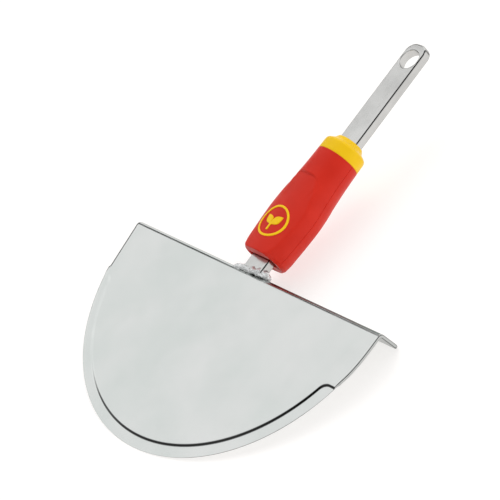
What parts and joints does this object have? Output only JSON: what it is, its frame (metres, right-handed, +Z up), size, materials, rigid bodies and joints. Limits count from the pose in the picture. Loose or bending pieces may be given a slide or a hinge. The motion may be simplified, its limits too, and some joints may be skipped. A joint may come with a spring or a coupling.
{
  "type": "lawn edging iron head",
  "caption": "Half-moon blade with a foot tread, welded to a flat tang that carries a moulded grip and collar for a quick-change handle.",
  "frame": {"origin": "centre of the bounding box's bottom, with the head lying blade face up on the blade's cutting edge and the tread's back edge", "axes": "+X along the fold and tread, +Y towards the free end of the tang (about 8 degrees lower than the tang's own direction), +Z up from the surface that it lies on"},
  "size_m": [0.225, 0.2821, 0.0434],
  "materials": {
    "blade_steel": "bright plated sheet steel, satin with a soft reflection and faint rolling marks",
    "tang_steel": "bright plated flat bar, slightly uneven",
    "weld_steel": "plated weld bead, lumpy and shiny",
    "grip_red": "moulded plastic, semi-gloss with a very fine grain",
    "collar_yellow": "moulded plastic, semi-gloss",
    "badge_yellow": "moulded inlay, semi-gloss",
    "screw_steel": "zinc-plated self-tapping screw"
  },
  "bodies": {
    "root": {"blade": "blade_steel", "tang": "tang_steel", "weld_front": "weld_steel", "weld_rear": "weld_steel", "sleeve_front": "grip_red", "sleeve_rear": "grip_red", "collar": "collar_yellow", "badge_ring": "badge_yellow", "badge_leaf": "badge_yellow", "sleeve_screws": "screw_steel"}
  },
  "joints": []
}
